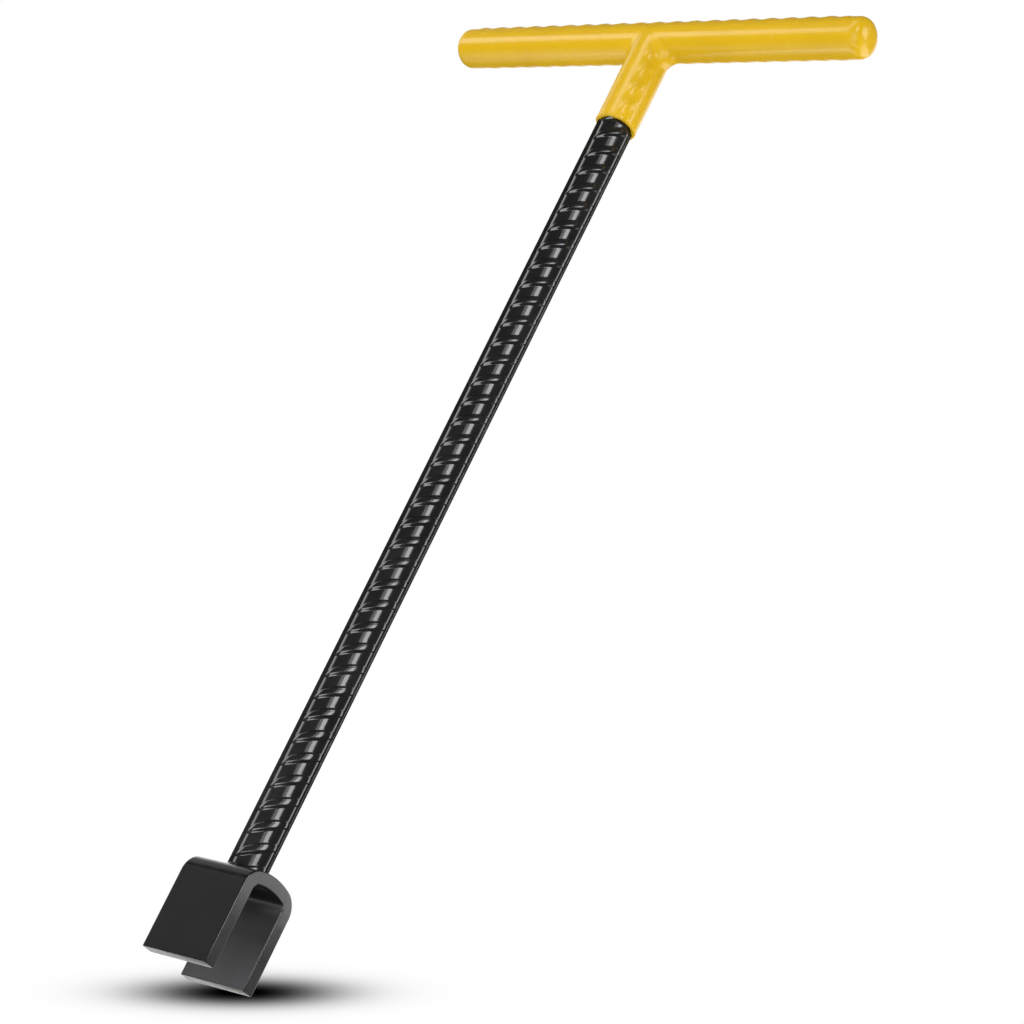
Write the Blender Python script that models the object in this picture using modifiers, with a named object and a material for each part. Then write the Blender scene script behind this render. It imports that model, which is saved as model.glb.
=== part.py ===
"""T-handle key with a slotted U jaw, welded from ribbed bar and flat bar.

Metres, +Z up. The origin is the middle of the two leg ends, which lie on z = 0. The shank runs up +Z,
the jaw's width and the handle's crossbar run along X, and the slot between the legs faces along Y.
"""

import math

import bmesh
import bpy
from mathutils import Matrix, Vector

# Flat bar of the jaw: 1 1/2 x 1/4 in, bent into a U whose web has a slight crown.
FLAT_WIDTH = 0.0381
FLAT_THICKNESS = 0.00635
JAW_DEPTH = 0.0341
JAW_HEIGHT = 0.0474
BEND_INNER_RADIUS = 0.0028
CROWN_RADIUS = 0.0380
JAW_EDGE = 0.0003

# Ribbed bar, nominal 5/8 in: radius between the ribs, radius over them, and the standard's rib spacing.
CORE_RADIUS = 0.0076
RIB_RADIUS = 0.0090
RIB_PITCH = 0.0111
RIB_FOOT = 0.0048
RIB_CREST = 0.0018
RIB_SLANT = 0.62
RIB_COLUMNS = (-80, -56, -28, 0, 28, 56, 80)

# Handle: height of the crossbar's axis, its length over the skin, and the skin on bar and stem.
CROSSBAR_HEIGHT = 0.5047
HANDLE_LENGTH = 0.2472
SKIN_RADIUS = 0.0101
STEM_SKIN_RADIUS = 0.01035
STEM_SKIN_END = 0.4524
SKIN_WALL = 0.0011
DOME_DEPTH = 0.0066
DOME_POWER = 2.4
DOME_STEPS = 9
END_PLUG = 0.0072

# Welds: the bead round the shank's foot, and the concave fillets under the crossbar.
BEAD_LEG = 0.0016
BEAD_SKIRT = 0.0018
WEB_RADIUS_RIGHT = 0.0070
WEB_RADIUS_LEFT = 0.0030
WELD_HALF_WIDTH = 0.0036
WELD_TRIM = 15
ROOM_TRIM = 8

GAP = 0.0003
OVERLAP = 0.0030
BORE_RADIUS = RIB_RADIUS + GAP
ROUND_SIDES = 32

parts = bpy.data.collections.new("fire_hydrant_wrench")
cutters = bpy.data.collections.new("cutters")


def clear_scene():
    for obj in list(bpy.data.objects):
        bpy.data.objects.remove(obj, do_unlink=True)
    bpy.context.scene.collection.children.link(parts)
    bpy.context.scene.collection.children.link(cutters)


def paint(name, colour, roughness, metallic=0.0):
    material = bpy.data.materials.new(name)
    material.use_nodes = True
    shader = material.node_tree.nodes["Principled BSDF"]
    shader.inputs["Base Color"].default_value = (*colour, 1.0)
    shader.inputs["Roughness"].default_value = roughness
    shader.inputs["Metallic"].default_value = metallic
    return material


def add_object(name, mesh, collection):
    """Link a mesh as an object. A cutter is hidden from the render and drawn as a wire."""
    obj = bpy.data.objects.new(name, mesh)
    collection.objects.link(obj)
    if collection is cutters:
        obj.hide_render = True
        obj.display_type = "WIRE"
    return obj


def mesh_from(name, bm):
    mesh = bpy.data.meshes.new(name)
    bm.to_mesh(mesh)
    bm.free()
    return mesh


def cylinder(name, radius, start, end, collection):
    """A cylinder between two points."""
    start, end = Vector(start), Vector(end)
    run = end - start
    turn = Vector((0, 0, 1)).rotation_difference(run).to_matrix().to_4x4()
    bm = bmesh.new()
    bmesh.ops.create_cone(
        bm,
        cap_ends=True,
        segments=ROUND_SIDES,
        radius1=radius,
        radius2=radius,
        depth=run.length,
        matrix=Matrix.Translation((start + end) / 2) @ turn,
    )
    return add_object(name, mesh_from(name, bm), collection)


def turned(name, profile, collection):
    """Turn a profile of (radius, height) points about the object's Z. It runs down its outer side."""
    mesh = bpy.data.meshes.new(name)
    edges = [(i, i + 1) for i in range(len(profile) - 1)]
    if profile[0][0] > 0 and profile[-1][0] > 0:
        edges.append((len(profile) - 1, 0))
    mesh.from_pydata([(radius, 0.0, height) for radius, height in profile], edges, [])
    obj = add_object(name, mesh, collection)
    screw = obj.modifiers.new("turn", "SCREW")
    screw.steps = screw.render_steps = ROUND_SIDES
    screw.use_merge_vertices = True
    screw.merge_threshold = 1e-5
    return obj


def extruded(name, outline, width, turn, collection):
    """Fill a flat outline, give it a width along its normal, and turn it into place as a mesh."""
    curve = bpy.data.curves.new(name, "CURVE")
    curve.dimensions = "2D"
    curve.fill_mode = "BOTH"
    curve.extrude = width / 2
    spline = curve.splines.new("POLY")
    spline.points.add(len(outline) - 1)
    for point, (x, y) in zip(spline.points, outline):
        point.co = (x, y, 0.0, 1.0)
    spline.use_cyclic_u = True
    guide = bpy.data.objects.new(name, curve)
    parts.objects.link(guide)
    evaluated = guide.evaluated_get(bpy.context.evaluated_depsgraph_get())
    bm = bmesh.new()
    bm.from_mesh(bpy.data.meshes.new_from_object(evaluated))
    bpy.data.objects.remove(guide)
    bmesh.ops.remove_doubles(bm, verts=bm.verts, dist=1e-6)
    bmesh.ops.recalc_face_normals(bm, faces=bm.faces)
    obj = add_object(name, mesh_from(name, bm), collection)
    obj.rotation_euler = turn
    return obj


def boolean(obj, other, operation="DIFFERENCE"):
    modifier = obj.modifiers.new(f"{operation.lower()} {other.name}", "BOOLEAN")
    modifier.operation = operation
    modifier.object = other


def arc(centre, radius, start, end, steps=8):
    """Points along an arc, in degrees anticlockwise from the outline's +X."""
    angles = [math.radians(start + (end - start) * i / steps) for i in range(steps + 1)]
    return [
        (centre[0] + radius * math.cos(a), centre[1] + radius * math.sin(a)) for a in angles
    ]


# Outlines lie in their own XY plane and are turned upright.
ACROSS_Y = (math.pi / 2, 0.0, math.pi / 2)
ACROSS_X = (math.pi / 2, 0.0, 0.0)


def over_the_web(offset, bend_steps=7, crown_steps=6):
    """The U's bends and crowned web as seen along X, from +Y to -Y, at an offset from the outer face."""
    bend_radius = BEND_INNER_RADIUS + FLAT_THICKNESS
    centre_y = JAW_DEPTH / 2 - bend_radius
    reach = CROWN_RADIUS - bend_radius
    crown_z = JAW_HEIGHT - CROWN_RADIUS
    bend_z = crown_z + math.sqrt(reach**2 - centre_y**2)
    turn = math.degrees(math.asin(centre_y / reach))
    right = arc((centre_y, bend_z), bend_radius + offset, 0, 90 - turn, bend_steps)
    crown = arc((0, crown_z), CROWN_RADIUS + offset, 90 - turn, 90 + turn, crown_steps)
    left = arc((-centre_y, bend_z), bend_radius + offset, 90 + turn, 180, bend_steps)
    return right + crown[1:-1] + left


def jaw_outline():
    """The U as seen along X: out over the top, and back round the inside of the slot."""
    half, inner = JAW_DEPTH / 2, JAW_DEPTH / 2 - FLAT_THICKNESS
    inside = reversed(over_the_web(-FLAT_THICKNESS, bend_steps=5))
    return [(half, 0.0), *over_the_web(0.0), (-half, 0.0), (-inner, 0.0), *inside, (inner, 0.0)]


def make_jaw(material):
    jaw = extruded("jaw", jaw_outline(), FLAT_WIDTH, ACROSS_Y, parts)
    bevel = jaw.modifiers.new("broken edges", "BEVEL")
    bevel.width = JAW_EDGE
    bevel.segments = 1
    bevel.angle_limit = math.radians(60)
    jaw.data.materials.append(material)


def rib_height(offset):
    """How far a rib stands out at this angle from the middle of its side: full there, none at the seam."""
    return (RIB_RADIUS - CORE_RADIUS) * math.sqrt(max(math.cos(math.radians(offset)), 0.0))


def ribbed_bar(name, length, seam, material):
    """A bar along +Z from the origin, with two seams along it and slanted crescent ribs on both sides.

    Each rib is a band of four rows: foot, crest, crest and foot. A row is a slanted ring, so the band
    climbs to the first seam on both sides and is lowest at the other seam. The cut ends are flat.
    """
    margin = 2 * RIB_PITCH
    count = math.ceil((length + 2 * margin) / RIB_PITCH)
    rows = []
    for rib in range(count):
        middle = rib * RIB_PITCH - margin
        rows.append((middle - RIB_FOOT / 2, 0.0))
        rows.append((middle - RIB_CREST / 2, 1.0))
        rows.append((middle + RIB_CREST / 2, 1.0))
        rows.append((middle + RIB_FOOT / 2, 0.0))
    bm = bmesh.new()
    rings = []
    for height, raised in rows:
        ring = []
        for face_angle in (0, 180):
            for offset in (*RIB_COLUMNS, 90):
                angle = math.radians(seam + 90 + face_angle + offset)
                radius = CORE_RADIUS + raised * rib_height(offset)
                if offset == 90:
                    radius = RIB_RADIUS
                climb = -RIB_SLANT * RIB_RADIUS * math.sin(math.radians(face_angle + offset))
                ring.append(
                    bm.verts.new((radius * math.cos(angle), radius * math.sin(angle), height + climb))
                )
        rings.append(ring)
    for low, high in zip(rings, rings[1:]):
        for i in range(len(low)):
            j = (i + 1) % len(low)
            bm.faces.new((low[i], low[j], high[j], high[i]))
    for cut, normal in ((0.0, -1), (length, 1)):
        geometry = bm.verts[:] + bm.edges[:] + bm.faces[:]
        found = bmesh.ops.bisect_plane(
            bm, geom=geometry, plane_co=(0, 0, cut), plane_no=(0, 0, normal), clear_outer=True
        )
        rim = [item for item in found["geom_cut"] if isinstance(item, bmesh.types.BMEdge)]
        bmesh.ops.edgenet_fill(bm, edges=rim)
    bmesh.ops.recalc_face_normals(bm, faces=bm.faces)
    bar = add_object(name, mesh_from(name, bm), parts)
    bar.data.materials.append(material)
    return bar


def make_bars(painted, bare):
    foot = JAW_HEIGHT + GAP
    top = CROSSBAR_HEIGHT - RIB_RADIUS - GAP
    shank = ribbed_bar("shank_bar", top - foot, 45, painted)
    shank.location.z = foot
    half = HANDLE_LENGTH / 2 - END_PLUG
    crossbar = ribbed_bar("crossbar_bar", 2 * half, 90, bare)
    crossbar.rotation_euler.y = math.pi / 2
    crossbar.location = (-half, 0.0, CROSSBAR_HEIGHT)


def make_jaw_weld(material):
    """A small fillet round the shank's foot. Its underside follows the web and the bends beside it."""
    top = JAW_HEIGHT + GAP
    fillet = arc((BORE_RADIUS + BEAD_LEG, top + BEAD_LEG), BEAD_LEG, 180, 270, 3)
    skirt = [(BORE_RADIUS + BEAD_LEG, top - BEAD_SKIRT), (BORE_RADIUS, top - BEAD_SKIRT)]
    bead = turned("jaw_weld_bead", fillet + skirt, parts)
    clearance = extruded(
        "jaw_clearance", over_the_web(GAP, 16, 16), 2 * FLAT_WIDTH, ACROSS_Y, cutters
    )
    boolean(bead, clearance)
    bead.data.materials.append(material)


def web_solid(name, side, web_radius, depth, trim, width, collection):
    """A concave-faced block in the corner under the crossbar, as wide as width across Y.

    side is 1 on the right and -1 on the left. The face lies depth inside the skin's own, round the same
    centre, and stops trim degrees before it would run level under the crossbar.
    """
    centre = (STEM_SKIN_RADIUS + web_radius, CROSSBAR_HEIGHT - SKIN_RADIUS - web_radius)
    inner = STEM_SKIN_RADIUS - OVERLAP
    upper = CROSSBAR_HEIGHT - SKIN_RADIUS + OVERLAP
    face = arc(centre, web_radius + depth, 90 + trim, 180, 10)
    outline = [(inner, upper), (face[0][0], upper), *face, (inner, centre[1])]
    return extruded(name, [(side * x, z) for x, z in outline], width, ACROSS_X, collection)


def make_crossbar_welds(material):
    shank_room = cylinder(
        "shank_room", BORE_RADIUS, (0, 0, STEM_SKIN_END), (0, 0, CROSSBAR_HEIGHT), cutters
    )
    reach = HANDLE_LENGTH / 2
    crossbar_room = cylinder(
        "crossbar_room", BORE_RADIUS, (-reach, 0, CROSSBAR_HEIGHT), (reach, 0, CROSSBAR_HEIGHT), cutters
    )
    for name, side, radius in (
        ("crossbar_weld_left", -1, WEB_RADIUS_LEFT),
        ("crossbar_weld_right", 1, WEB_RADIUS_RIGHT),
    ):
        depth = SKIN_WALL + GAP
        weld = web_solid(name, side, radius, depth, WELD_TRIM, 2 * WELD_HALF_WIDTH, parts)
        boolean(weld, shank_room)
        boolean(weld, crossbar_room)
        weld.data.materials.append(material)


def handle_body(name):
    """The crossbar's outside: a rod along X whose ends are full, slightly squared domes."""
    half = HANDLE_LENGTH / 2
    profile = []
    for i in range(DOME_STEPS + 1):
        radius = SKIN_RADIUS * math.sin(math.pi / 2 * i / DOME_STEPS)
        fall = 1 - (1 - (radius / SKIN_RADIUS) ** DOME_POWER) ** (1 / DOME_POWER)
        profile.append((radius, half - DOME_DEPTH * fall))
    profile += [(radius, -height) for radius, height in reversed(profile)]
    body = turned(name, profile, parts)
    body.rotation_euler.y = math.pi / 2
    body.location.z = CROSSBAR_HEIGHT
    return body


def make_skin(material):
    """The dipped skin: one T-shaped shell, open only at the lower end of its stem."""
    skin = handle_body("grip_coating")
    boolean(
        skin,
        cylinder("stem", STEM_SKIN_RADIUS, (0, 0, STEM_SKIN_END), (0, 0, CROSSBAR_HEIGHT), cutters),
        "UNION",
    )
    webs = (("left", -1, WEB_RADIUS_LEFT), ("right", 1, WEB_RADIUS_RIGHT))
    cavity_width = 2 * (WELD_HALF_WIDTH + GAP)
    for word, side, radius in webs:
        web_width = cavity_width + 2 * SKIN_WALL
        web = web_solid(f"web_{word}", side, radius, 0.0, 0, web_width, cutters)
        boolean(skin, web, "UNION")
    below = (0, 0, STEM_SKIN_END - OVERLAP)
    boolean(skin, cylinder("shank_bore", BORE_RADIUS, below, (0, 0, CROSSBAR_HEIGHT), cutters))
    reach = HANDLE_LENGTH / 2 - END_PLUG + GAP
    ends = ((-reach, 0, CROSSBAR_HEIGHT), (reach, 0, CROSSBAR_HEIGHT))
    boolean(skin, cylinder("crossbar_bore", BORE_RADIUS, *ends, cutters))
    for word, side, radius in webs:
        room = web_solid(f"weld_room_{word}", side, radius, SKIN_WALL, ROOM_TRIM, cavity_width, cutters)
        boolean(skin, room)
    skin.data.materials.append(material)


def shade_round_pieces():
    for obj in parts.objects:
        obj.data.shade_smooth()
        obj.data.set_sharp_from_angle(angle=math.radians(35))


clear_scene()
black = paint("black_paint", (0.022, 0.022, 0.023), 0.28)
yellow = paint("yellow_vinyl", (0.76, 0.44, 0.012), 0.30)
steel = paint("mill_steel", (0.20, 0.19, 0.18), 0.55, 0.9)
make_jaw(black)
make_bars(black, steel)
make_jaw_weld(black)
make_crossbar_welds(steel)
make_skin(yellow)
shade_round_pieces()
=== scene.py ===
"""Looks of the T-handle key: fine meshes, materials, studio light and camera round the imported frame.

Metres, +Z up along the shank. Places come from the frame's nodes.
"""

import math

import bmesh
import bpy
import numpy as np
from mathutils import Matrix, Vector


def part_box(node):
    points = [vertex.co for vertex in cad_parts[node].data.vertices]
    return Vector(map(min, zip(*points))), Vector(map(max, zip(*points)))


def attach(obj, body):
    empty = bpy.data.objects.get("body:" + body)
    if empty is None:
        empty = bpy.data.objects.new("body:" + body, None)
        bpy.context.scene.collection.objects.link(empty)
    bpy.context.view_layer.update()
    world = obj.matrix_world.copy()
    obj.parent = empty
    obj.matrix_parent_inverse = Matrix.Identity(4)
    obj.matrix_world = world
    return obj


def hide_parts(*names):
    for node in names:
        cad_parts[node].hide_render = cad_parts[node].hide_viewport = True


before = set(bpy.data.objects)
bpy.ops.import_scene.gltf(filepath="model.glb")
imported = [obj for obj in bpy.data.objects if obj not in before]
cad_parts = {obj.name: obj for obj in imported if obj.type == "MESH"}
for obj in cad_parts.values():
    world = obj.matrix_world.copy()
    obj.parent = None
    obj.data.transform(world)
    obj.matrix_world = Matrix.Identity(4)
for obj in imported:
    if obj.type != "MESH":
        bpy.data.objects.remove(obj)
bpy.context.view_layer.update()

# The white backdrop as the pieces mirror it: its direction and glow, the cosines to that direction between
# which its edge fades in, and the sines of the climb between which its foot and its head fade.
BACKDROP = (-0.777, 0.629, 0.0)
BACKDROP_GLOW = 1.3
BACKDROP_EDGES = (0.34, 0.44)
BACKDROP_FOOT = (0.02, 0.17)
BACKDROP_HEAD = (0.58, 0.76)

# A glow from below on the left, in the same terms, and the dim light from everywhere else.
LOW_GLOW = (-0.654, 0.057, -0.755)
LOW_GLOW_EDGES = (0.85, 0.95)
LOW_GLOW_STRENGTH = 0.8
AMBIENT = 0.10

# Oval contact shadow on the backdrop: its middle, and its half width and half height as slopes from the
# camera. DISPLAY_GAMMA makes it fall off evenly on a screen.
SHADOW_PLACE = (0.0152, 0.0136, 0.0)
SHADOW_SIZE = (0.0323, 0.0046)
DISPLAY_GAMMA = 2.2

# Floor: it lies just below the tool and fades out between two distances from it. Its own light is a broad
# one from high up, tilted about X and Y.
FLOOR_RADIUS = 3.0
FLOOR_DROP = 0.0006
FLOOR_FADE = (0.6, 2.6)
FLOOR_LIGHT = 2.1
FLOOR_LIGHT_SPREAD = 50.0
FLOOR_LIGHT_TILT = -14.0

# Camera: its place, the direction it looks in, and its turn about that direction.
CAMERA_PLACE = (0.83705, -0.83524, -0.23004)
CAMERA_HEADING = 43.34
CAMERA_CLIMB = 22.09
CAMERA_ROLL = 25.73
CAMERA_LENS = 98.9
SENSOR = 36.0

# Light panels for each group of pieces: name, azimuth in degrees from +X, distance from the shank's axis,
# heights of the lower and the upper edge, width, and radiance.
PANELS = {
    ("ribbed_shank", "shank_weld", "bent_jaw"): (
        ("key", -20.0, 0.9, 0.22, 1.02, 0.42, 9.5),
    ),
    ("ribbed_shank", "shank_weld"): (
        ("key_fade", -44.0, 0.9, 0.22, 1.02, 0.28, 2.5),
        ("bar_left_edge", -166.0, 0.7, 0.15, 0.95, 0.20, 0.9),
        ("bar_right_edge", 80.0, 0.7, 0.15, 0.95, 0.20, 0.9),
        ("bar_low", -80.0, 0.4, -0.85, -0.02, 0.74, 6.5),
    ),
    ("bent_jaw",): (
        ("jaw_side", 40.0, 0.35, 0.106, 0.35, 0.40, 2.5),
        ("jaw_side_foot", 40.0, 0.35, -0.02, 0.106, 0.40, 0.55),
        ("jaw_edge", -45.0, 0.6, 0.10, 0.20, 0.70, 3.0),
        ("jaw_ends", 135.0, 0.6, -0.26, 0.02, 0.50, 1.25),
        ("jaw_front", -133.0, 0.7, 0.00, 0.45, 0.60, 0.34),
    ),
    ("dipped_grip",): (
        ("grip_bar", -131.0, 0.8, 0.45, 0.75, 0.60, 4.2),
        ("grip_stem_left", -99.0, 0.8, 0.77, 1.12, 0.36, 4.3),
        ("grip_stem_right", 9.0, 0.8, 0.66, 1.06, 0.40, 4.6),
        ("grip_front", -45.0, 0.8, 0.50, 0.80, 0.26, 6.5),
        ("grip_side", 50.0, 0.8, 0.00, 0.60, 0.90, 3.2),
        ("grip_fill", -58.0, 0.8, -0.35, 0.30, 0.90, 2.6),
        ("grip_under", -50.0, 0.3, -0.50, 0.10, 0.80, 2.8),
        ("grip_behind", 130.0, 0.3, -0.60, 0.00, 0.90, 2.6),
        ("grip_below", 176.0, 0.45, -0.30, 0.15, 0.60, 0.35),
        ("grip_top", -90.0, 0.8, 1.25, 1.75, 0.90, 2.0),
    ),
}

# Ribbed bar: radius between the ribs, how far its foot reaches into the jaw's web, and the azimuth of the
# middle of its front face.
CORE_RADIUS = 0.0076
SHANK_SINK = 0.0016
FACE_AZIMUTH = -45.0

# Crescent ribs: height, spacing, slope across the middle of a face, and half widths of foot and crest. At
# its tips a rib narrows to RIB_TIP_WIDTH of its full width. It keeps its full height up to RIB_REACH less
# RIB_TAPER degrees from the face's middle and ends at RIB_REACH. Its crest falls by RIB_DROP of the height
# towards its upper side.
RIB_HEIGHT = 0.0013
RIB_PITCH = 0.0111
RIB_SLANT = 0.64
RIB_HALF_FOOT = 0.00285
RIB_HALF_CREST = 0.00125
RIB_TIP_WIDTH = 0.42
RIB_REACH = 76.0
RIB_TAPER = 46.0
RIB_DROP = 0.30

# Seams along both sides of the bar: height, and the angles from the face's middle of their foot and crest.
SEAM_HEIGHT = 0.0014
SEAM_FOOT = 79.5
SEAM_CREST = 86.0

# A flank runs from a foot to a crest. FLANK_STEPS are the parts of its width that get a row of points, and
# FLANK_ROUND is the part that is rounded at each end.
FLANK_STEPS = (0.0, 0.1, 0.2, 0.5, 0.8, 0.9, 1.0)
FLANK_ROUND = 0.35

# Dipped skin over the bars: radii of its crossbar and stem, how far below the crossbar's middle the stem's
# round top has its centre, the hollow's radius, the domed ends, the rounding of the rim, and the cell of the
# grid that it is drawn on.
SKIN_RADIUS = 0.0100
STEM_RADIUS = 0.01035
STEM_TOP = 0.0033
SKIN_CORE = 0.0078
DOME_DEPTH = 0.0066
DOME_POWER = 2.4
RIM_ROUND = 0.00035
SKIN_CELL = 0.00075

# Fillets between stem and crossbar: their reach on each side, and in the creases in front and behind. The
# one passes into the other over FILLET_SIDE_FADE, up to FILLET_HALF_WIDTH from the middle plane, and they
# fade in from FILLET_TOP below the crossbar's middle.
FILLET_RIGHT = 0.0073
FILLET_LEFT = 0.0032
FILLET_CREASE = 0.0010
FILLET_HALF_WIDTH = 0.0103
FILLET_SIDE_FADE = 0.0078
FILLET_TOP = 0.001
FILLET_TOP_FADE = 0.005

# Swellings where the skin covers ribs: half width along the bar, and where the crossbar's and the stem's
# first ribs lie. Each band of them is (height, middle, half width, the part of it that fades), in metres
# and degrees. A middle is the angle from +Z towards +Y on the crossbar, and the azimuth on the stem. They
# stop PRINT_STOP short of the handle's ends and below the crossbar's middle.
PRINT_WIDTH = 0.0027
CROSSBAR_RIB = 0.0052
STEM_RIB = 0.0051
CROSSBAR_PRINTS = ((0.00060, -15.0, 52.0, 36.0), (0.00022, 145.0, 30.0, 24.0))
STEM_PRINTS = ((0.00068, -41.0, 23.0, 18.0), (0.00068, 139.0, 23.0, 18.0))
PRINT_STOP = 0.010
PRINT_FADE = 0.004

# Flat bar of the jaw. CROWN_RADIUS is the outer radius of its slightly arched web, END_HEIGHTS and END_EASE
# are the first stations up a leg and how far its sawn end is eased at the first three, and BEND_PULL is how
# far a bend draws in the outer edges.
FLAT_THICKNESS = 0.00635
BEND_INNER_RADIUS = 0.0028
CROWN_RADIUS = 0.0380
FLAT_CORNER = 0.0007
CORNER_MARGIN = 0.00025
END_HEIGHTS = (0.0, 0.0001, 0.00025, 0.0006)
END_EASE = (0.00028, 0.00010, 0.00002)
BEND_PULL = 0.00030

# Weld bead round the shank's foot: its leg length, the height of its ripples and how many there are, and
# how much the leg wanders round the bar.
BEAD_LEG = 0.0012
BEAD_RIPPLE = 0.00018
BEAD_RIPPLES = 22
BEAD_WANDER = 0.0002

# The slot's faces get painted light up to the first of these heights, and none from the second on.
SLOT_LIGHT_TOP = (0.0388, 0.0400)

low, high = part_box("jaw")
JAW_HALF_WIDTH = high.x
JAW_HALF_DEPTH = high.y
JAW_HEIGHT = high.z
low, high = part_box("grip_coating")
HANDLE_HALF = high.x
STEM_END = low.z
low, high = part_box("crossbar_bar")
CROSSBAR_HEIGHT = (low.z + high.z) / 2
CROSSBAR_HALF = high.x


def smooth(value):
    """0 below 0, 1 above 1, and an even S between."""
    value = np.clip(value, 0.0, 1.0)
    return value * value * (3 - 2 * value)


def flank(value):
    """0 below 0, 1 above 1, and a straight slope between whose two ends are rounded."""
    value = np.clip(value, 0.0, 1.0)
    turned = 2 * FLANK_ROUND * (1 - FLANK_ROUND)
    straight = (value - FLANK_ROUND / 2) / (1 - FLANK_ROUND)
    lower = np.where(value < FLANK_ROUND, value**2 / turned, straight)
    return np.where(value > 1 - FLANK_ROUND, 1 - (1 - value) ** 2 / turned, lower)


# ---------------------------------------------------------------- materials


class Nodes:
    """A short way to add shader nodes to a tree and link them."""

    def __init__(self, tree):
        self.tree = tree

    def add(self, kind, inputs=(), **settings):
        node = self.tree.nodes.new(kind)
        for key, value in settings.items():
            setattr(node, key, value)
        for key, value in dict(inputs).items():
            socket = node.inputs[key]
            if isinstance(value, bpy.types.NodeSocket):
                self.tree.links.new(value, socket)
            else:
                socket.default_value = value
        return node

    def link(self, value, socket):
        self.tree.links.new(value, socket)

    def math(self, operation, *values):
        return self.add("ShaderNodeMath", dict(enumerate(values)), operation=operation).outputs[0]

    def rise(self, value, start, end, low=0.0, high=1.0, blend="LINEAR"):
        """low where value is start, high where it is end, and held at both beyond them."""
        ends = {"Value": value, "From Min": start, "From Max": end, "To Min": low, "To Max": high}
        return self.add("ShaderNodeMapRange", ends, interpolation_type=blend).outputs[0]

    def ramp(self, factor, *stops):
        node = self.add("ShaderNodeValToRGB", {"Fac": factor})
        elements = node.color_ramp.elements
        while len(elements) < len(stops):
            elements.new(0.5)
        for element, (place, colour) in zip(elements, stops):
            element.position = place
            element.color = (*colour, 1.0)
        return node.outputs["Color"]

    def mix(self, factor, first, second):
        """The first colour where factor is 0, and the second where it is 1."""
        inputs = {"Factor": factor, 6: first, 7: second}
        return self.add("ShaderNodeMix", inputs, data_type="RGBA").outputs[2]

    def noise(self, scale, detail=2.0, roughness=0.5):
        """Noise in the object's own metres; scale is in cycles a metre."""
        place = self.add("ShaderNodeTexCoord").outputs["Object"]
        inputs = {"Vector": place, "Scale": scale, "Detail": detail, "Roughness": roughness}
        return self.add("ShaderNodeTexNoise", inputs).outputs["Fac"]

    def bump(self, height, strength, distance):
        inputs = {"Height": height, "Strength": strength, "Distance": distance}
        return self.add("ShaderNodeBump", inputs).outputs["Normal"]


def new_material(name):
    material = bpy.data.materials.new(name)
    material.use_nodes = True
    shader = material.node_tree.nodes["Principled BSDF"]
    return material, Nodes(material.node_tree), shader


def black_paint():
    """Gloss black over steel: orange peel and faint cloudiness. The slot's faces get painted light, a grey
    lighter towards the bottom and near the top, with a duller gloss. The leg ends are scuffed to bare steel."""
    material, nodes, shader = new_material("black_paint")
    cloud = nodes.noise(60.0, 3.0)
    film = nodes.ramp(cloud, (0.3, (0.006, 0.006, 0.0065)), (0.75, (0.012, 0.012, 0.0125)))

    place = nodes.add("ShaderNodeTexCoord").outputs["Object"]
    parts = nodes.add("ShaderNodeSeparateXYZ", {"Vector": place}).outputs
    height = parts["Z"]
    slot_half = JAW_HALF_DEPTH - FLAT_THICKNESS + 0.0001
    inside = nodes.math("LESS_THAN", nodes.math("ABSOLUTE", parts["Y"]), slot_half)
    # Painted light on the slot's inner faces: a grey that is lighter towards the bottom and near the top.
    painted_slot_light = nodes.math("MULTIPLY", inside, nodes.rise(height, *SLOT_LIGHT_TOP, 1.0, 0.0))
    clouded_height = nodes.math("MULTIPLY_ADD", cloud, 0.006, height)
    painted_slot_colours = nodes.ramp(
        nodes.math("DIVIDE", clouded_height, JAW_HEIGHT),
        (0.10, (0.16, 0.16, 0.168)),
        (0.55, (0.058, 0.058, 0.061)),
        (0.78, (0.060, 0.060, 0.063)),
        (0.88, (0.19, 0.19, 0.20)),
    )

    ragged_height = nodes.math("MULTIPLY_ADD", nodes.noise(900.0, 3.0), -0.0006, height)
    worn = nodes.rise(ragged_height, -0.0002, 0.0, 1.0, 0.0)
    bare_steel = (0.31, 0.302, 0.294, 1.0)
    nodes.link(nodes.mix(worn, nodes.mix(painted_slot_light, film, painted_slot_colours), bare_steel), shader.inputs["Base Color"])
    nodes.link(worn, shader.inputs["Metallic"])

    gloss = nodes.rise(nodes.noise(220.0, 3.0), 0.3, 0.7, 0.13, 0.20)
    dull = nodes.math("MAXIMUM", worn, painted_slot_light)
    nodes.link(nodes.math("MULTIPLY_ADD", dull, 0.25, gloss), shader.inputs["Roughness"])
    nodes.link(nodes.bump(nodes.noise(420.0, 1.0), 0.05, 0.0001), shader.inputs["Normal"])
    return material


def yellow_vinyl():
    """Glossy dipped vinyl: its colour is cloudy, and its surface has slight ripples."""
    material, nodes, shader = new_material("yellow_vinyl")
    colour = nodes.ramp(
        nodes.noise(45.0, 3.0), (0.25, (0.655, 0.395, 0.008)), (0.75, (0.715, 0.44, 0.011))
    )
    nodes.link(colour, shader.inputs["Base Color"])
    nodes.link(nodes.rise(nodes.noise(180.0), 0.3, 0.7, 0.22, 0.28), shader.inputs["Roughness"])
    shader.inputs["Specular IOR Level"].default_value = 0.38
    nodes.link(nodes.bump(nodes.noise(300.0), 0.06, 0.00015), shader.inputs["Normal"])
    return material


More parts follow.
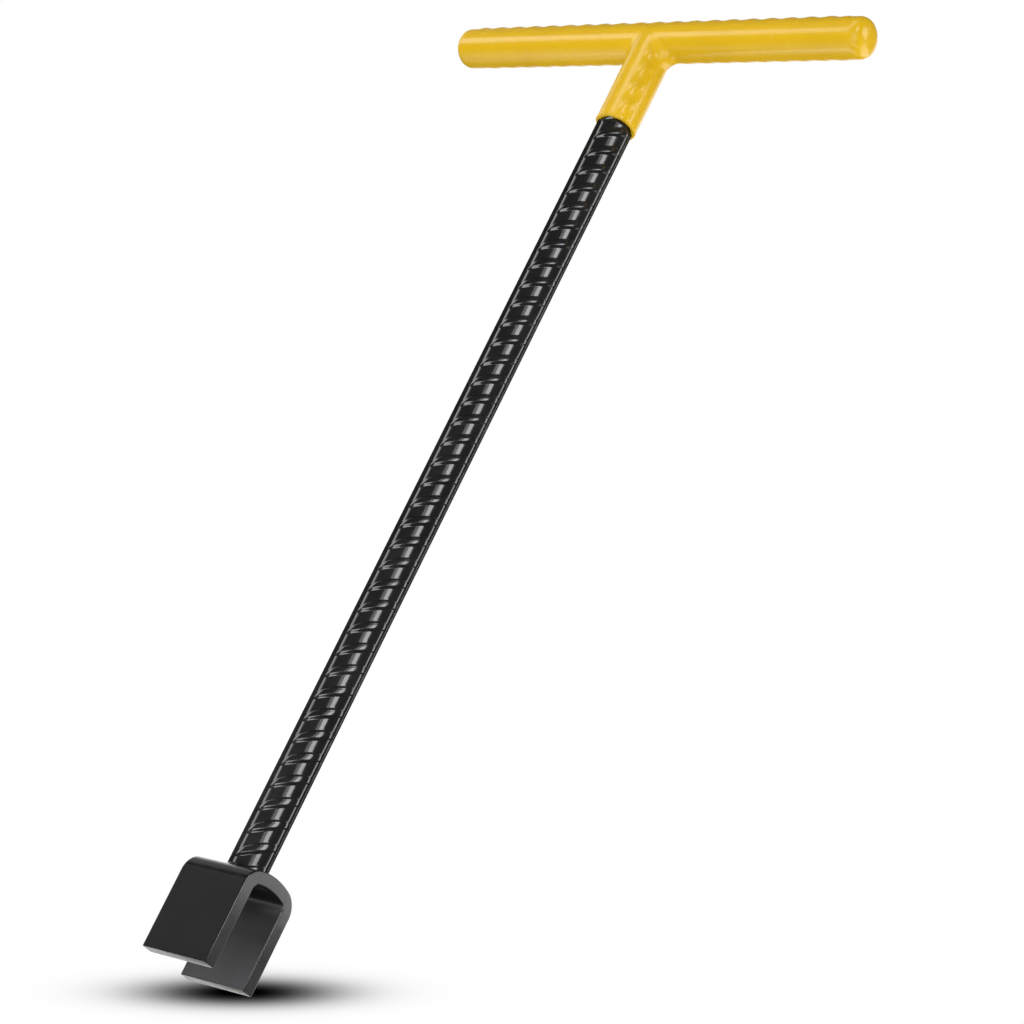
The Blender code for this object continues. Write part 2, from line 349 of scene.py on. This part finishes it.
def mill_steel():
    """Steel with blue-grey mill scale and brown specks, as it is under the skin."""
    material, nodes, shader = new_material("mill_steel")
    scale = nodes.noise(150.0, 5.0, 0.65)
    colour = nodes.ramp(
        scale, (0.35, (0.10, 0.10, 0.11)), (0.6, (0.19, 0.18, 0.17)), (0.8, (0.16, 0.08, 0.04))
    )
    nodes.link(colour, shader.inputs["Base Color"])
    shader.inputs["Metallic"].default_value = 0.85
    nodes.link(nodes.rise(scale, 0.3, 0.8, 0.4, 0.7), shader.inputs["Roughness"])
    nodes.link(nodes.bump(scale, 0.3, 0.0002), shader.inputs["Normal"])
    return material


# ---------------------------------------------------------------- meshes


def object_from(name, points, faces, material):
    mesh = bpy.data.meshes.new(name)
    mesh.from_pydata([tuple(p) for p in points], [], faces)
    mesh.validate()
    mesh.materials.append(material)
    obj = bpy.data.objects.new(name, mesh)
    bpy.context.scene.collection.objects.link(obj)
    return obj


def grid_faces(rows, columns, closed_rows=False):
    """Quads between rows of points that each close on themselves."""
    faces = []
    for i in range(rows if closed_rows else rows - 1):
        below, above = i * columns, ((i + 1) % rows) * columns
        for j in range(columns):
            k = (j + 1) % columns
            faces.append((below + j, below + k, above + k, above + j))
    return faces


def turn_outward(obj):
    """Turn a closed mesh's faces outward."""
    bm = bmesh.new()
    bm.from_mesh(obj.data)
    bmesh.ops.recalc_face_normals(bm, faces=bm.faces)
    bm.to_mesh(obj.data)
    bm.free()


def finish_piece(obj, slot, *nodes, angle=35):
    """Shade smooth up to an angle between faces, hide the CAD nodes that the piece stands for, and hang it
    from the root body.
    """
    obj.data.shade_smooth()
    obj.data.set_sharp_from_angle(angle=math.radians(angle))
    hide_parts(*nodes)
    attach(obj, "root")


def bar_columns():
    """Angles round the bar from the middle of its front face, closer together at the two seams."""
    side = list(range(-70, 71, 5))
    edge = [75.0] + [SEAM_FOOT + (SEAM_CREST - SEAM_FOOT) * step for step in FLANK_STEPS]
    face = [-angle for angle in reversed(edge)] + side + edge
    return np.array([turn + angle for turn in (0, 180) for angle in (*face, 90)], float)


def rib_rows():
    """Distances from a rib's middle to the rows that draw one spacing of the bar."""
    foot, crest, half = RIB_HALF_FOOT, RIB_HALF_CREST, RIB_PITCH / 2
    slope = [crest + (foot - crest) * step for step in FLANK_STEPS]
    valley = [foot + (half - foot) * step for step in (0.1, 0.5)]
    upper = [0.33 * crest, 0.67 * crest] + slope + valley
    return [-half] + [-value for value in reversed(upper)] + [0.0] + upper


def shank_rings(columns, bottom, top):
    """Rings of points up the bar, from two ribs below the bottom to two above the top."""
    across = np.radians(columns)
    face = np.abs((columns + 90) % 180 - 90)
    narrow = RIB_TIP_WIDTH + (1 - RIB_TIP_WIDTH) * np.cos(np.radians(face)) ** 0.8
    tall = RIB_HEIGHT * smooth((RIB_REACH - face) / RIB_TAPER) ** 0.6
    seam = SEAM_HEIGHT * flank((face - SEAM_FOOT) / (SEAM_CREST - SEAM_FOOT))
    climb = RIB_SLANT * CORE_RADIUS * np.sin(across)
    angle = across + math.radians(FACE_AZIMUTH)
    slope = RIB_HALF_FOOT - RIB_HALF_CREST
    half_pitch = RIB_PITCH / 2
    rings = []
    for rib in range(-2, int((top - bottom) / RIB_PITCH) + 2):
        for row in rib_rows():
            on_rib = min(abs(row), RIB_HALF_FOOT) * narrow
            past_rib = max(abs(row) - RIB_HALF_FOOT, 0) / (half_pitch - RIB_HALF_FOOT)
            offset = on_rib + past_rib * (half_pitch - RIB_HALF_FOOT * narrow)
            raised = 1 - flank((abs(row) - RIB_HALF_CREST) / slope)
            over_crest = np.clip((row + RIB_HALF_CREST) / (2 * RIB_HALF_CREST), 0, 1)
            crowned = raised * (1 - RIB_DROP * over_crest**2)
            radius = CORE_RADIUS + np.maximum(tall * crowned, seam)
            height = bottom + rib * RIB_PITCH + climb + math.copysign(1, row) * offset
            rings.append(np.stack([radius * np.cos(angle), radius * np.sin(angle), height], 1))
    return rings


def cut_level(obj, bottom, top):
    """Cut a piece off level at both heights and close its ends."""
    bm = bmesh.new()
    bm.from_mesh(obj.data)
    for cut, normal in ((bottom, -1), (top, 1)):
        geometry = bm.verts[:] + bm.edges[:] + bm.faces[:]
        found = bmesh.ops.bisect_plane(
            bm, geom=geometry, dist=1e-7, plane_co=(0, 0, cut), plane_no=(0, 0, normal), clear_outer=True
        )
        rim = [item for item in found["geom_cut"] if isinstance(item, bmesh.types.BMEdge)]
        bmesh.ops.edgenet_fill(bm, edges=rim)
    bmesh.ops.recalc_face_normals(bm, faces=bm.faces)
    bm.to_mesh(obj.data)
    bm.free()


def make_shank(material):
    """The bar's seams run along both sides of the front face. Each rib is a slanted crescent that is
    widest and highest in the middle of a face, and it climbs to the right across the front."""
    bottom = JAW_HEIGHT - SHANK_SINK
    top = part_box("shank_bar")[1].z
    columns = bar_columns()
    rings = shank_rings(columns, bottom, top)
    faces = grid_faces(len(rings), len(columns))
    shank = object_from("ribbed_shank", np.concatenate(rings), faces, material)
    cut_level(shank, bottom, top)
    finish_piece(shank, "black_paint", "shank_bar", angle=32)


def flat_bar_section():
    """The flat bar's rounded section as (across, outward) points, with a point just inside each corner."""
    half, thick = JAW_HALF_WIDTH, FLAT_THICKNESS / 2
    points = []
    for quarter, (side, face) in enumerate(((1, 1), (-1, 1), (-1, -1), (1, -1))):
        centre = Vector((side * (half - FLAT_CORNER), face * (thick - FLAT_CORNER)))
        bend = [math.radians(90 * quarter + 90 * step / 4) for step in range(5)]
        arc = [centre + FLAT_CORNER * Vector((math.cos(a), math.sin(a))) for a in bend]
        before = arc[0] - CORNER_MARGIN * Vector((-math.sin(bend[0]), math.cos(bend[0])))
        after = arc[-1] + CORNER_MARGIN * Vector((-math.sin(bend[-1]), math.cos(bend[-1])))
        points += [before, *arc, after]
    return points


def jaw_path():
    """Stations along the U's outer face, from the back leg's end to the front's: (y, z, outward angle)."""
    bend_radius = BEND_INNER_RADIUS + FLAT_THICKNESS
    centre_y = JAW_HALF_DEPTH - bend_radius
    reach = CROWN_RADIUS - bend_radius
    crown_z = JAW_HEIGHT - CROWN_RADIUS
    bend_z = crown_z + math.sqrt(reach**2 - centre_y**2)
    lean = math.asin(centre_y / reach)
    upright = math.pi / 2
    heights = list(END_HEIGHTS) + [bend_z * step / 6 for step in range(1, 6)]
    legs = [(JAW_HALF_DEPTH, z, 0.0) for z in heights]
    arcs = []
    for y, z, radius, start, end, steps in (
        (centre_y, bend_z, bend_radius, 0.0, upright - lean, 18),
        (0.0, crown_z, CROWN_RADIUS, upright - lean, upright + lean, 12),
        (-centre_y, bend_z, bend_radius, upright + lean, math.pi, 18),
    ):
        first = 1 if arcs else 0  # an arc starts where the one before it ends
        for step in range(first, steps + 1):
            turn = start + (end - start) * step / steps
            arcs.append((y + radius * math.cos(turn), z + radius * math.sin(turn), turn))
    return legs + arcs + [(-y, z, math.pi) for y, z, _ in reversed(legs)]


def make_jaw(material):
    """The flat bar's section swept along the U. Its ends are eased a little, and each bend pulls its
    stretched outer edges in."""
    section = flat_bar_section()
    path = jaw_path()
    eased = dict(enumerate(END_EASE))
    points = []
    for place, (y, z, turn) in enumerate(path):
        inset = eased.get(min(place, len(path) - 1 - place), 0.0)
        pull = BEND_PULL * abs(math.sin(2 * turn))
        for across, outward in section:
            stretched = max(outward, 0.0) / (FLAT_THICKNESS / 2)
            x = across - math.copysign(inset + pull * stretched, across)
            out = outward - math.copysign(inset, outward) - FLAT_THICKNESS / 2
            points.append((x, y + out * math.cos(turn), z + out * math.sin(turn)))
    columns = len(section)
    faces = grid_faces(len(path), columns)
    faces.append(list(range(columns)))
    faces.append(list(range((len(path) - 1) * columns, len(path) * columns)))
    jaw = object_from("bent_jaw", points, faces, material)
    turn_outward(jaw)
    finish_piece(jaw, "black_paint", "jaw", angle=40)


def make_shank_weld(material):
    """A low rippled fillet round the shank's foot, following the crowned web."""
    steps = 144
    columns = 8
    rings = []
    for step in range(steps):
        angle = 2 * math.pi * step / steps
        ripple = 0.5 + 0.5 * math.cos(BEAD_RIPPLES * angle + 0.9 * math.sin(3 * angle))
        leg = BEAD_LEG + BEAD_RIPPLE * ripple + BEAD_WANDER * math.sin(2 * angle + 0.6)
        section = (
            (-0.0006, leg + 0.0001),
            (0.0004, leg),
            (0.0005 + 0.25 * leg, 0.74 * leg),
            (0.0006 + 0.60 * leg, 0.40 * leg),
            (0.0007 + 1.00 * leg, 0.14 * leg),
            (0.0008 + 1.30 * leg, 0.0),
            (0.0006 + 1.30 * leg, -0.0004),
            (-0.0006, -0.0004),
        )
        for outward, rise in section:
            radius = CORE_RADIUS + outward
            x, y = radius * math.cos(angle), radius * math.sin(angle)
            fall = CROWN_RADIUS - math.sqrt(CROWN_RADIUS**2 - y**2)
            rings.append((x, y, JAW_HEIGHT - fall + rise))
    faces = grid_faces(steps, columns, closed_rows=True)
    bead = object_from("shank_weld", rings, faces, material)
    turn_outward(bead)
    finish_piece(bead, "black_paint", "jaw_weld_bead", angle=60)


def rib_prints(along, around, prints):
    """How far the buried ribs lift the skin. along is the distance from a rib along the bar."""
    nearest = (along + RIB_PITCH / 2) % RIB_PITCH - RIB_PITCH / 2
    crest = np.exp(-((nearest / PRINT_WIDTH) ** 2))
    lift = 0.0
    for height, middle, reach, fade in prints:
        away = np.abs((np.degrees(around) - middle + 180) % 360 - 180)
        lift = lift + height * smooth((reach - away) / fade)
    return crest * lift


def crossbar_distance(x, y, up):
    """Roughly the distance outside the skin round the crossbar, with its domed ends and rib prints."""
    radius = np.sqrt(y * y + up * up)
    around = np.arctan2(y, up)
    slant = RIB_SLANT * SKIN_RADIUS * np.sin(around)
    swell = rib_prints(x - slant - CROSSBAR_RIB, around, CROSSBAR_PRINTS)
    swell = swell * smooth((HANDLE_HALF - PRINT_STOP - np.abs(x)) / PRINT_FADE)
    past = np.maximum(np.abs(x) - (HANDLE_HALF - DOME_DEPTH), 0.0) / DOME_DEPTH
    ratio = (past**DOME_POWER + (radius / SKIN_RADIUS) ** DOME_POWER) ** (1 / DOME_POWER)
    return SKIN_RADIUS * (ratio - 1) - swell


def stem_distance(x, y, z, up):
    """Roughly the distance outside the skin round the stem, with its rib prints."""
    over = np.maximum(up + STEM_TOP, 0.0)
    azimuth = np.arctan2(y, x)
    climb = RIB_SLANT * STEM_RADIUS * np.sin(azimuth - math.radians(FACE_AZIMUTH))
    swell = rib_prints(z - climb - STEM_RIB, azimuth, STEM_PRINTS)
    swell = swell * smooth(-(up + PRINT_STOP) / PRINT_FADE)
    return np.sqrt(x * x + y * y + over * over) - STEM_RADIUS - swell


def skin_distance(points):
    """Roughly the distance outside the skin's outer face: crossbar and stem, joined by fillets."""
    x, y, z = points.T
    up = z - CROSSBAR_HEIGHT
    crossbar = crossbar_distance(x, y, up)
    stem = stem_distance(x, y, z, up)
    side = np.where(x > 0, FILLET_RIGHT, FILLET_LEFT)
    wide = smooth((FILLET_HALF_WIDTH - np.abs(y)) / FILLET_SIDE_FADE)
    below = smooth(-(up + FILLET_TOP) / FILLET_TOP_FADE)
    fillet = (FILLET_CREASE + (side - FILLET_CREASE) * wide) * below + 1e-6
    near_bar = np.maximum(fillet - crossbar, 0.0)
    near_stem = np.maximum(fillet - stem, 0.0)
    return np.maximum(fillet, np.minimum(crossbar, stem)) - np.sqrt(near_bar**2 + near_stem**2)


def shell_distance(points):
    """The skin as a shell: its outer face, the rim at the stem's end, and the bars' hollow."""
    x, y, z = points.T
    up = z - CROSSBAR_HEIGHT
    beyond = np.abs(x) - CROSSBAR_HALF
    hollow_bar = np.maximum(np.sqrt(y * y + up * up) - SKIN_CORE, beyond)
    hollow_stem = np.maximum(np.sqrt(x * x + y * y) - SKIN_CORE, up)
    outer = skin_distance(points)
    rim = STEM_END - z
    near_outer = np.maximum(outer + RIM_ROUND, 0.0)
    near_rim = np.maximum(rim + RIM_ROUND, 0.0)
    inner = np.minimum(np.maximum(outer, rim), -RIM_ROUND)
    body = inner + np.sqrt(near_outer * near_outer + near_rim * near_rim)
    return np.maximum(body, -np.minimum(hollow_bar, hollow_stem))


def surface_net(distance, low, high, cell):
    """A closed mesh of distance == 0 on a grid of cubes: a point in each cube that the surface crosses, and
    a quad round each of the grid's edges that it crosses."""
    axes = [np.arange(start, end + cell, cell) for start, end in zip(low, high)]
    grid = np.stack(np.meshgrid(*axes, indexing="ij"), -1)
    value = distance(grid.reshape(-1, 3)).reshape(grid.shape[:3])
    steps = np.eye(3, dtype=int)
    rings, crossings = [], []
    for axis, step in enumerate(steps):
        following = value[step[0]:, step[1]:, step[2]:]
        here = value[tuple(slice(0, size) for size in following.shape)]
        edge = np.argwhere((here < 0) != (following < 0))
        before, after = value[tuple(edge.T)], value[tuple((edge + step).T)]
        place = grid[tuple(edge.T)] + (before / (before - after))[:, None] * cell * step
        side, other = steps[(axis + 1) % 3], steps[(axis + 2) % 3]
        ring = np.stack([edge, edge - side, edge - side - other, edge - other], 1)
        ring[before > 0] = ring[before > 0, ::-1]
        rings.append(ring)
        crossings.append(np.repeat(place, 4, axis=0))
    cubes = np.ravel_multi_index(np.concatenate(rings).reshape(-1, 3).T, value.shape)
    _, corner = np.unique(cubes, return_inverse=True)
    count = np.bincount(corner)
    crossings = np.concatenate(crossings)
    points = np.stack([np.bincount(corner, crossings[:, i]) / count for i in range(3)], 1)
    return points, corner.reshape(-1, 4)


def relax(points, quads, amount):
    """Move each point towards the middle of those that share an edge with it."""
    total = np.zeros_like(points)
    count = np.zeros(len(points))
    for side in range(4):
        here, following = quads[:, side], quads[:, (side + 1) % 4]
        np.add.at(total, here, points[following])
        np.add.at(count, here, 1)
    return points + amount * (total / count[:, None] - points)


def settle(points, distance, rounds=8):
    """Move points along the gradient onto distance == 0, by no more than longest in each round."""
    step = 2e-5
    longest = 0.0004
    axes = np.eye(3) * step
    for _ in range(rounds):
        value = distance(points)
        slopes = [(distance(points + axis) - distance(points - axis)) / (2 * step) for axis in axes]
        gradient = np.stack(slopes, 1)
        size = np.maximum((gradient**2).sum(1), 0.25)
        move = -(value / size)[:, None] * gradient
        reach = np.linalg.norm(move, axis=1, keepdims=True)
        points = points + move * np.minimum(1.0, longest / np.maximum(reach, 1e-9))
    return points


def make_grip(material):
    """The dipped skin over both bars, drawn straight from its shape as a distance."""
    margin = 0.0015
    low = (-HANDLE_HALF - margin, -STEM_RADIUS - margin, STEM_END - margin)
    high = (HANDLE_HALF + margin, STEM_RADIUS + margin, CROSSBAR_HEIGHT + SKIN_RADIUS + margin)
    points, quads = surface_net(shell_distance, low, high, SKIN_CELL)
    for _ in range(3):
        points = settle(relax(points, quads, 0.5), shell_distance, rounds=2)
    points = settle(points, shell_distance)
    grip = object_from("dipped_grip", points, quads.tolist(), material)
    finish_piece(grip, "yellow_vinyl", "grip_coating", angle=50)


# ---------------------------------------------------------------- stage, light and camera


def make_camera():
    heading, climb = math.radians(CAMERA_HEADING), math.radians(CAMERA_CLIMB)
    ahead = Vector(
        (-math.sin(heading) * math.cos(climb), math.cos(heading) * math.cos(climb), math.sin(climb))
    )
    data = bpy.data.cameras.new("camera")
    data.sensor_width = SENSOR
    data.lens = CAMERA_LENS
    camera = bpy.data.objects.new("camera", data)
    bpy.context.scene.collection.objects.link(camera)
    aim = ahead.to_track_quat("-Z", "Y").to_matrix().to_4x4()
    roll = Matrix.Rotation(math.radians(CAMERA_ROLL), 4, "Z")
    camera.matrix_world = Matrix.Translation(CAMERA_PLACE) @ aim @ roll
    bpy.context.scene.camera = camera
    return camera


def along(nodes, direction, axis):
    """How far a direction points along an axis: the cosine between them."""
    inputs = {0: direction, 1: tuple(axis)}
    return nodes.add("ShaderNodeVectorMath", inputs, operation="DOT_PRODUCT").outputs["Value"]


def reflected_light(nodes, direction):
    """White behind the tool, a glow from below on the left, and dim elsewhere."""
    height = along(nodes, direction, (0.0, 0.0, 1.0))
    under_head = nodes.math("SUBTRACT", 1.0, nodes.rise(height, *BACKDROP_HEAD))
    band = nodes.math("MULTIPLY", nodes.rise(height, *BACKDROP_FOOT), under_head)
    behind = nodes.rise(along(nodes, direction, BACKDROP), *BACKDROP_EDGES, 0.0, BACKDROP_GLOW)
    back = nodes.math("MULTIPLY", behind, band)
    low = nodes.rise(along(nodes, direction, LOW_GLOW), *LOW_GLOW_EDGES, 0.0, LOW_GLOW_STRENGTH)
    return nodes.math("ADD", nodes.math("ADD", back, low), AMBIENT)


def seen_light(nodes, direction, camera):
    """White, with the oval contact shadow in the direction from the camera's place to the tool's foot."""
    turn = camera.matrix_world.to_3x3()
    right, up, ahead = turn.col[0], turn.col[1], -turn.col[2]
    sight = Vector(SHADOW_PLACE) - camera.matrix_world.translation
    depth = along(nodes, direction, ahead)
    squares = []
    for axis, size in zip((right, up), SHADOW_SIZE):
        slope = nodes.math("DIVIDE", along(nodes, direction, axis), depth)
        away = nodes.math("SUBTRACT", slope, sight.dot(axis) / sight.dot(ahead))
        part = nodes.math("ABSOLUTE", nodes.math("DIVIDE", away, size))
        squares.append(nodes.math("POWER", part, 2.0))
    fall = nodes.math("EXPONENT", nodes.math("MULTIPLY", nodes.math("ADD", *squares), -1.0))
    clear = nodes.math("POWER", nodes.math("SUBTRACT", 1.0, fall), DISPLAY_GAMMA)
    elsewhere = nodes.math("LESS_THAN", depth, 0.5)
    return nodes.math("MAXIMUM", clear, elsewhere)


def make_world(camera):
    """White where it is seen directly. In reflections it is white behind and dim elsewhere."""
    world = bpy.data.worlds.new("studio")
    bpy.context.scene.world = world
    world.use_nodes = True
    tree = world.node_tree
    tree.nodes.clear()
    nodes = Nodes(tree)
    ray = nodes.add("ShaderNodeLightPath").outputs["Is Camera Ray"]
    direction = nodes.add("ShaderNodeTexCoord").outputs["Generated"]
    white = (1.0, 1.0, 1.0, 1.0)
    light = reflected_light(nodes, direction)
    reflected = nodes.add("ShaderNodeBackground", {"Color": white, "Strength": light})
    light = seen_light(nodes, direction, camera)
    seen = nodes.add("ShaderNodeBackground", {"Color": white, "Strength": light})
    mix = nodes.add("ShaderNodeMixShader", {0: ray, 1: reflected.outputs[0], 2: seen.outputs[0]})
    nodes.add("ShaderNodeOutputWorld", {"Surface": mix.outputs[0]})


def add_light(name, kind, receivers):
    """A light that only the given objects receive."""
    data = bpy.data.lights.new(name, kind)
    light = bpy.data.objects.new(name, data)
    bpy.context.scene.collection.objects.link(light)
    lit = bpy.data.collections.new(name)
    for piece in receivers:
        lit.objects.link(piece)
    light.light_linking.receiver_collection = lit
    return light


def softbox(pieces, name, azimuth, distance, bottom, top, width, radiance):
    """An upright panel that faces the shank."""
    light = add_light(name, "AREA", [bpy.data.objects[piece] for piece in pieces])
    light.data.shape = "RECTANGLE"
    light.data.size = width
    light.data.size_y = top - bottom
    light.data.energy = radiance * math.pi * width * (top - bottom)
    angle = math.radians(azimuth)
    place = Vector((distance * math.cos(angle), distance * math.sin(angle), (bottom + top) / 2))
    inward = Vector((-math.cos(angle), -math.sin(angle), 0.0))
    light.matrix_world = Matrix.Translation(place) @ inward.to_track_quat("-Z", "Y").to_matrix().to_4x4()
    light.visible_camera = False


def make_lights():
    """The key is tall and stands to the right of the black pieces. Every other panel serves one group."""
    for pieces, panels in PANELS.items():
        for panel in panels:
            softbox(pieces, *panel)


def floor_material():
    """Pale paper that fades into the backdrop, and is clear from below."""
    material = bpy.data.materials.new("floor")
    material.use_nodes = True
    tree = material.node_tree
    tree.nodes.clear()
    nodes = Nodes(tree)
    backface = nodes.add("ShaderNodeNewGeometry").outputs["Backfacing"]
    place = nodes.add("ShaderNodeTexCoord").outputs["Object"]
    distance = nodes.add("ShaderNodeVectorMath", {0: place}, operation="LENGTH").outputs["Value"]
    clear_part = nodes.math("MAXIMUM", backface, nodes.rise(distance, *FLOOR_FADE, blend="SMOOTHSTEP"))
    paper = nodes.add("ShaderNodeBsdfDiffuse", {"Color": (0.80, 0.80, 0.80, 1.0)})
    clear = nodes.add("ShaderNodeBsdfTransparent")
    mix = nodes.add("ShaderNodeMixShader", {0: clear_part, 1: paper.outputs[0], 2: clear.outputs[0]})
    nodes.add("ShaderNodeOutputMaterial", {"Surface": mix.outputs[0]})
    return material


def make_floor():
    """A pale floor, seen from above only, and its own light. The pieces don't mirror it."""
    bm = bmesh.new()
    bmesh.ops.create_circle(bm, cap_ends=True, segments=96, radius=FLOOR_RADIUS)
    mesh = bpy.data.meshes.new("floor")
    bm.to_mesh(mesh)
    bm.free()
    mesh.materials.append(floor_material())
    floor = bpy.data.objects.new("floor", mesh)
    bpy.context.scene.collection.objects.link(floor)
    floor.location.z = -FLOOR_DROP
    floor.visible_glossy = False
    floor.visible_diffuse = False
    floor.visible_shadow = False
    light = add_light("floor_light", "SUN", [floor])
    light.data.energy = FLOOR_LIGHT
    light.data.angle = math.radians(FLOOR_LIGHT_SPREAD)
    tilt = math.radians(FLOOR_LIGHT_TILT)
    light.rotation_euler = (tilt, tilt, 0.0)


black = black_paint()
yellow = yellow_vinyl()
steel = mill_steel()
make_shank(black)
make_jaw(black)
make_shank_weld(black)
make_grip(yellow)
for name in ("crossbar_bar", "crossbar_weld_left", "crossbar_weld_right"):
    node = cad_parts[name]
    node.data.materials.clear()
    node.data.materials.append(steel)
make_world(make_camera())
make_lights()
make_floor()
bpy.context.scene.view_settings.view_transform = "Standard"

bpy.context.view_layer.update()
